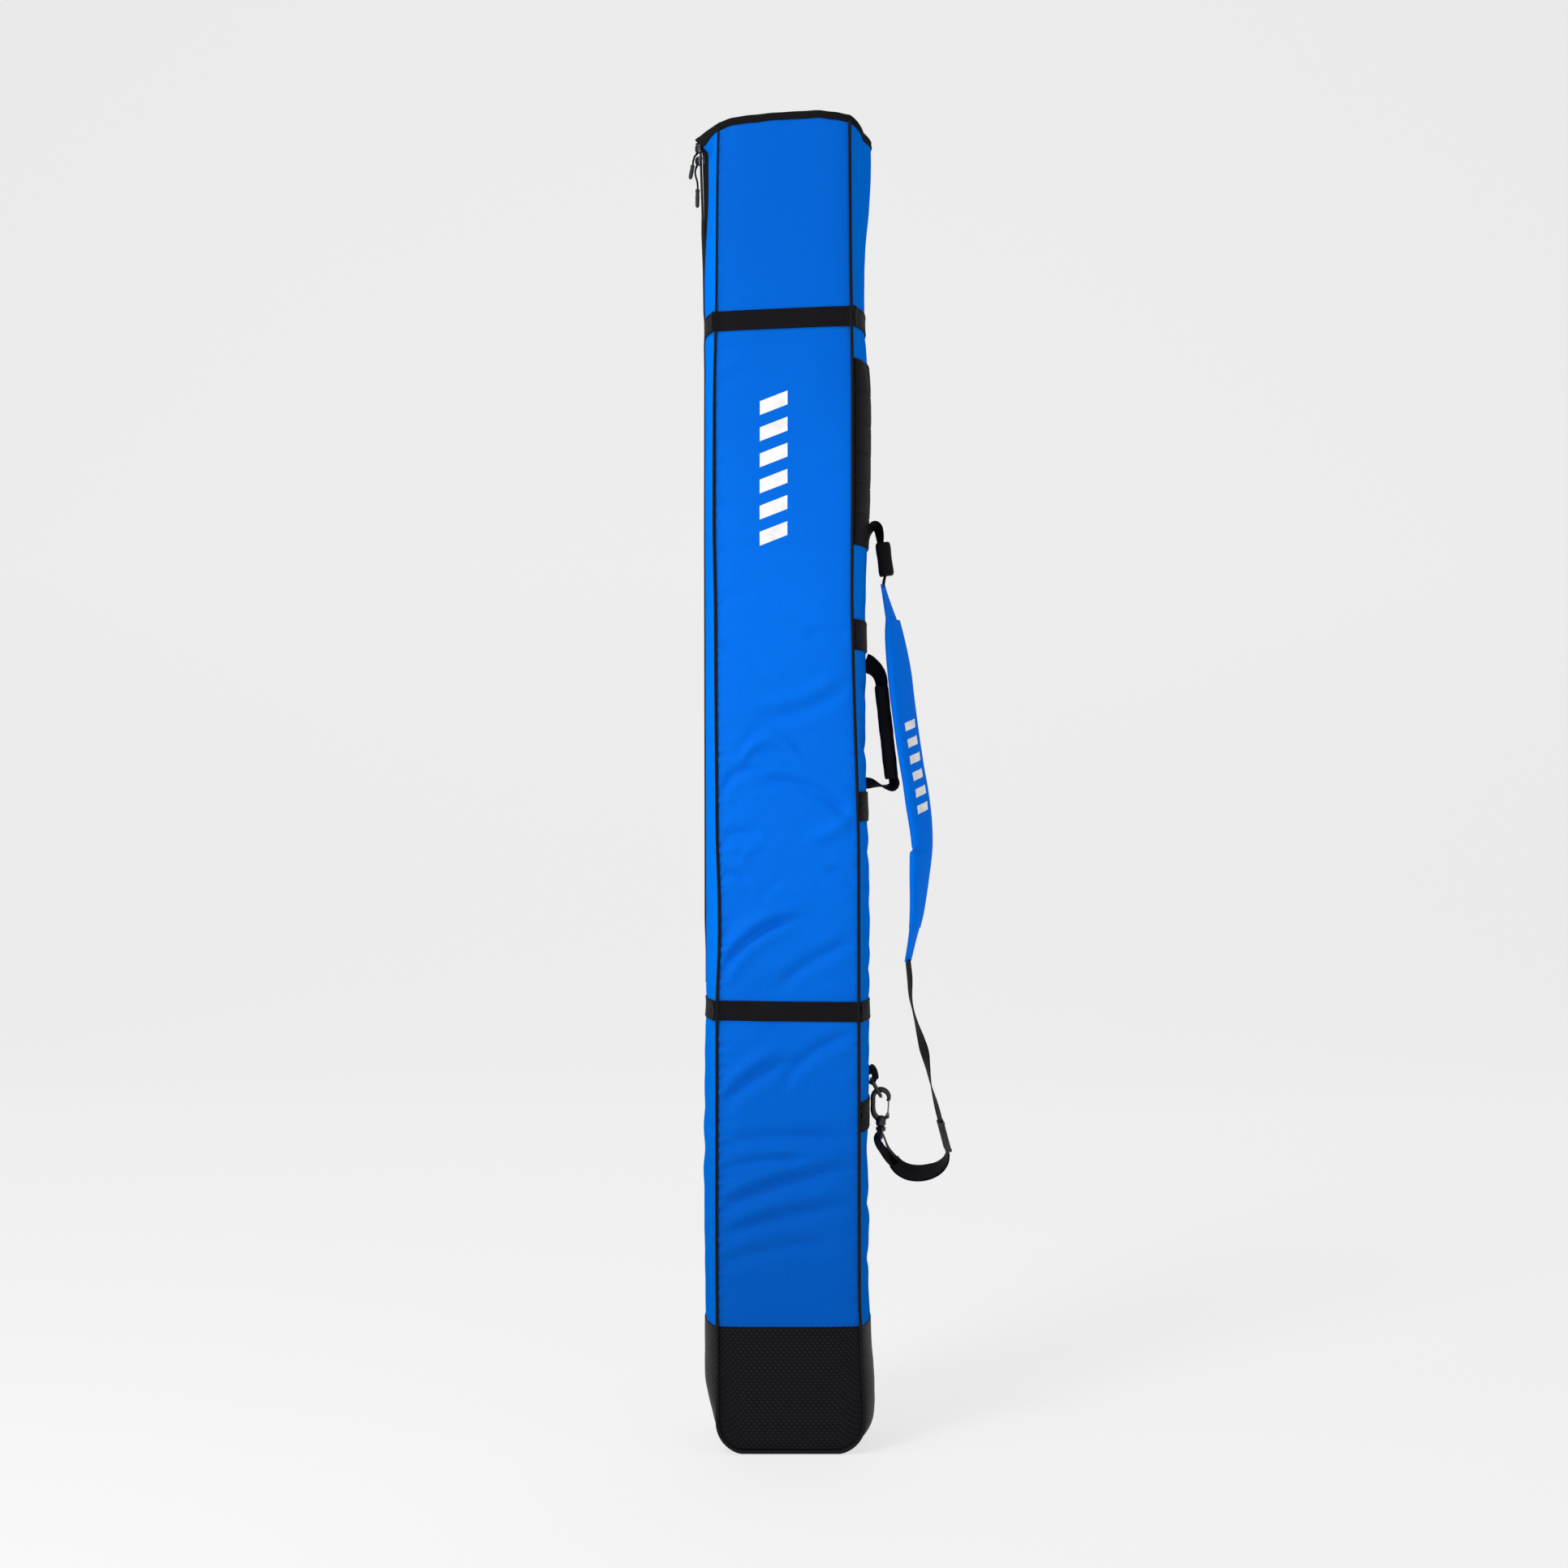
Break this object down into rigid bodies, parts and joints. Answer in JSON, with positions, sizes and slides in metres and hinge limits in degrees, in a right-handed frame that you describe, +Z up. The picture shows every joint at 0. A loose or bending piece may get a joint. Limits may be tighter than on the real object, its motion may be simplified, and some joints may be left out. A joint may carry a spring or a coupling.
{
  "type": "ski bag",
  "caption": "Long padded ski bag with an open bound mouth, side zip, carry handle, padded shoulder strap clipped to a D-ring, and a moulded base it stands on.",
  "frame": {"origin": "middle of the flat underside of the base", "axes": "+Z up the bag's length to the mouth, +X towards the handle and strap side, -Y out of the front panel"},
  "size_m": [0.3502, 0.1426, 1.75],
  "materials": {
    "panel_cloth": "woven coated polyester, matt",
    "side_cloth": "woven coated polyester, matt",
    "base_fabric": "embossed coated fabric",
    "piping": "woven piping over a cord",
    "binding": "grosgrain tape",
    "foam": "light closed-cell foam",
    "lining": "thin woven lining",
    "zip_tape": "herringbone tape",
    "zip_teeth": "moulded coil",
    "dark_metal": "gunmetal plating",
    "webbing": "ribbed polypropylene webbing",
    "wrap_fabric": "plain black cloth over padding",
    "pad_cloth": "woven coated polyester, matt",
    "black_plastic": "moulded nylon",
    "black_metal": "black lacquer",
    "gate_wire": "dark steel wire",
    "pull_cord": "braided cord",
    "pull_rubber": "moulded soft plastic"
  },
  "bodies": {
    "bag": {"front_panel": "panel_cloth", "back_panel": "panel_cloth", "right_gusset": "side_cloth", "left_gusset_lower": "side_cloth", "zip_gusset_front": "side_cloth", "zip_gusset_back": "side_cloth", "base_front": "base_fabric", "base_back": "base_fabric", "base_gusset": "base_fabric", "front_piping": "piping", "back_piping": "piping", "mouth_binding": "binding", "front_foam": "foam", "back_foam": "foam", "right_foam": "foam", "left_foam_lower": "foam", "left_foam_front": "foam", "left_foam_back": "foam", "base_foam": "foam", "lining": "lining", "base_lining": "lining", "zip_tape_front": "zip_tape", "zip_tape_back": "zip_tape", "zip_teeth_front": "zip_teeth", "zip_teeth_back": "zip_teeth", "zip_top_stops": "dark_metal", "zip_bottom_stop": "dark_metal", "upper_band": "webbing", "lower_band": "webbing", "webbing_panel": "webbing", "handle_patch_upper": "webbing", "handle_patch_lower": "webbing", "ring_patch": "webbing", "handle_root_upper": "webbing", "handle_root_lower": "webbing", "strap_root_webbing": "webbing", "ring_tab": "webbing"},
    "d_ring": {"d_ring": "black_plastic"},
    "handle": {"handle_webbing": "webbing", "handle_grip": "wrap_fabric"},
    "strap": {"strap_wrap": "wrap_fabric", "strap_top_webbing": "webbing", "pad_sleeve_upper": "pad_cloth", "shoulder_pad": "pad_cloth", "pad_sleeve_lower": "pad_cloth", "strap_webbing": "webbing", "strap_end_webbing": "webbing", "swivel_eye": "black_metal"},
    "adjuster": {"adjuster": "black_plastic"},
    "hook": {"hook_body": "black_metal"},
    "gate": {"hook_gate": "gate_wire"},
    "upper_slider": {"slider_upper": "dark_metal"},
    "lower_slider": {"slider_lower": "dark_metal"},
    "upper_pull": {"pull_cord_upper": "pull_cord", "pull_toggle_upper": "pull_rubber"},
    "lower_pull": {"pull_cord_lower": "pull_cord", "pull_toggle_lower": "pull_rubber"}
  },
  "joints": [
    {"name": "strap_swing", "type": "hinge", "parent": "bag", "child": "strap", "pos_m": [0.124, 0, 0.9], "axis": [0, 0, 1], "range_deg": [0, 65]},
    {"name": "hook_swivel", "type": "hinge", "parent": "strap", "child": "hook", "pos_m": [0.124, 0, 0.42], "axis": [0, 0, 1], "range_deg": [-65, 0]},
    {"name": "gate_hinge", "type": "hinge", "parent": "hook", "child": "gate", "pos_m": [0.1333, 0, 0.4332], "axis": [0, -1, 0], "range_deg": [0, 20], "stiffness_Nm_per_rad": 0.01, "springref_deg": -17.19},
    {"name": "adjuster_slide", "type": "slide", "parent": "strap", "child": "adjuster", "axis": [-0.2564, 0, 0.9666], "range_m": [0, 0.03]},
    {"name": "ring_tilt", "type": "hinge", "parent": "bag", "child": "d_ring", "pos_m": [0.1115, 0, 0.479], "axis": [0, 1, 0], "range_deg": [-6, 6]},
    {"name": "handle_swing", "type": "hinge", "parent": "bag", "child": "handle", "pos_m": [0.113, 0, 0.95], "axis": [0, 0, 1], "range_deg": [-75, 0]},
    {"name": "upper_slider_slide", "type": "slide", "parent": "bag", "child": "upper_slider", "axis": [-0.0068, 0, 1], "range_m": [0, 0.005]},
    {"name": "lower_slider_slide", "type": "slide", "parent": "bag", "child": "lower_slider", "axis": [0.0068, 0, -1], "range_m": [0, 1.075]},
    {"name": "upper_pull_hinge", "type": "hinge", "parent": "upper_slider", "child": "upper_pull", "pos_m": [-0.11974, 0, 1.71657], "axis": [0, 1, 0], "range_deg": [0, 95]},
    {"name": "lower_pull_hinge", "type": "hinge", "parent": "lower_slider", "child": "lower_pull", "pos_m": [-0.11963, 0, 1.70057], "axis": [0, 1, 0], "range_deg": [0, 80]}
  ],
  "couplings": [
    {"joint": "hook_swivel", "follows": "strap_swing", "ratio": -1}
  ]
}
